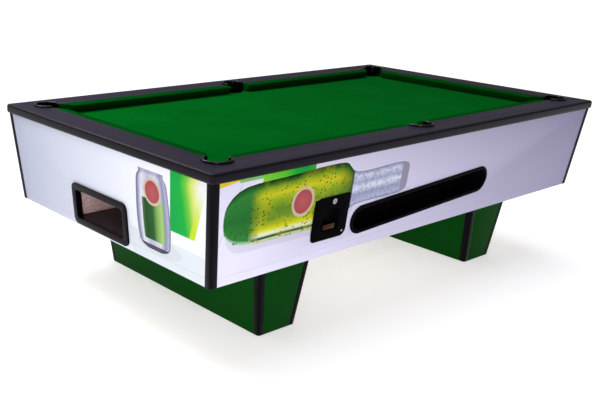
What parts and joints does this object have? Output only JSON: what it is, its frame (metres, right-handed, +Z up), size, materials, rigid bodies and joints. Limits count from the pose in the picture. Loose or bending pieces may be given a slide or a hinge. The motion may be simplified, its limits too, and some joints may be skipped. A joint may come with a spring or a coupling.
{
  "type": "pool table",
  "caption": "Coin-operated pool table with a green cloth bed, black rails and rimmed pockets, tapered pale cabinet, open ball tray, cue-ball return and two pedestal legs.",
  "frame": {"origin": "on the floor under the middle of the table", "axes": "+Z up, +X along the table's length; the ball tray and coin door face -Y and the cue-ball return faces -X"},
  "size_m": [2.31, 1.32, 0.734],
  "materials": {
    "rail_laminate": "charcoal high-pressure laminate over board, satin",
    "cushion_cloth": "green worsted cloth stretched over rubber",
    "bed_cloth": "green worsted cloth, napped",
    "pocket_plastic": "black moulded plastic, polished rim",
    "slate": "honed grey slate",
    "softwood": "planed pine",
    "trim_plastic": "black extruded trim, semi-gloss",
    "printed_laminate": null,
    "plywood": "raw birch plywood",
    "moulded_plastic": "black vacuum-formed plastic, glossy",
    "run_plastic": "grey extruded plastic",
    "zinc_steel": "bright zinc plated",
    "black_steel": "black powder coat, fine texture",
    "mech_plastic": "black moulded nylon",
    "brass": "worn cast brass",
    "chrome": "polished chrome",
    "green_laminate": "dark green laminate over board, satin"
  },
  "bodies": {
    "table": {"ball_tray": "moulded_plastic", "bed_cloth": "bed_cloth", "cabinet_floor": "plywood", "cabinet_panel_back": "printed_laminate", "cabinet_panel_front": "printed_laminate", "cabinet_panel_left": "printed_laminate", "cabinet_panel_right": "printed_laminate", "cash_box": "black_steel", "coin_door_hinge": "black_steel", "corner_post_back_left": "trim_plastic", "corner_post_back_right": "trim_plastic", "corner_post_front_left": "trim_plastic", "corner_post_front_right": "trim_plastic", "cross_chute": "run_plastic", "cue_return_box": "plywood", "cue_return_frame": "moulded_plastic", "cushion_back_left": "cushion_cloth", "cushion_back_right": "cushion_cloth", "cushion_front_left": "cushion_cloth", "cushion_front_right": "cushion_cloth", "cushion_left": "cushion_cloth", "cushion_right": "cushion_cloth", "gully_back": "run_plastic", "gully_front": "run_plastic", "pedestal_left_board_back": "green_laminate", "pedestal_left_board_front": "green_laminate", "pedestal_left_board_left": "green_laminate", "pedestal_left_board_right": "green_laminate", "pedestal_left_trim_back_left": "trim_plastic", "pedestal_left_trim_back_right": "trim_plastic", "pedestal_left_trim_front_left": "trim_plastic", "pedestal_left_trim_front_right": "trim_plastic", "pedestal_right_board_back": "green_laminate", "pedestal_right_board_front": "green_laminate", "pedestal_right_board_left": "green_laminate", "pedestal_right_board_right": "green_laminate", "pedestal_right_trim_back_left": "trim_plastic", "pedestal_right_trim_back_right": "trim_plastic", "pedestal_right_trim_front_left": "trim_plastic", "pedestal_right_trim_front_right": "trim_plastic", "pocket_liner_back_left": "pocket_plastic", "pocket_liner_back_middle": "pocket_plastic", "pocket_liner_back_right": "pocket_plastic", "pocket_liner_front_left": "pocket_plastic", "pocket_liner_front_middle": "pocket_plastic", "pocket_liner_front_right": "pocket_plastic", "rail_back": "rail_laminate", "rail_front": "rail_laminate", "rail_left": "rail_laminate", "rail_right": "rail_laminate", "slate_bearer_left": "softwood", "slate_bearer_right": "softwood", "slate_bed": "slate", "trough_carrier": "plywood"},
    "coin_door": {"coin_door": "black_steel", "coin_mech_body": "mech_plastic"},
    "coin_slide": {"coin_slide": "brass"},
    "lock_barrel": {"lock_barrel": "chrome"},
    "tipping_trough": {"tipping_trough": "run_plastic", "trough_shaft": "zinc_steel"}
  },
  "joints": [
    {"name": "coin_door_swing", "type": "hinge", "parent": "table", "child": "coin_door", "pos_m": [-0.666, -0.6341, 0.47413], "axis": [0, 0.096, -0.9954], "range_deg": [0, 105]},
    {"name": "lock_turn", "type": "hinge", "parent": "coin_door", "child": "lock_barrel", "pos_m": [-0.572, -0.63636, 0.53721], "axis": [0, 0.9954, 0.096], "range_deg": [0, 90]},
    {"name": "coin_slide_push", "type": "slide", "parent": "coin_door", "child": "coin_slide", "axis": [0, 0.9954, 0.096], "range_m": [0, 0.025], "stiffness_N_per_m": 300, "springref_m": -0.01},
    {"name": "trough_tip", "type": "hinge", "parent": "table", "child": "tipping_trough", "pos_m": [0, -0.5, 0.486], "axis": [1, 0, 0], "range_deg": [0, 51.6]}
  ],
  "couplings": [
    {"joint": "trough_tip", "follows": "coin_slide_push", "rad_per_m": 36}
  ]
}
